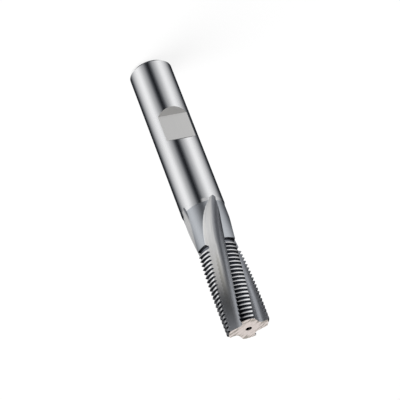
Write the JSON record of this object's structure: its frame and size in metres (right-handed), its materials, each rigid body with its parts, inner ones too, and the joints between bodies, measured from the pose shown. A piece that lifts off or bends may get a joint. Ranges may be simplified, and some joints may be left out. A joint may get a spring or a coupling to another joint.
{
  "type": "thread mill",
  "caption": "Solid carbide thread mill with helical flutes, annular ring teeth, a plain neck and a cylindrical shank with a side clamping flat.",
  "frame": {"origin": "centre of the shank's end face, on the tool's axis", "axes": "+Z along the tool's axis from the shank end to the cutting tip, -Y is the outward normal of the clamping flat"},
  "size_m": [0.012, 0.012, 0.084],
  "materials": {
    "carbide": "ground and polished"
  },
  "bodies": {
    "root": {"thread_mill": "carbide"}
  },
  "joints": []
}
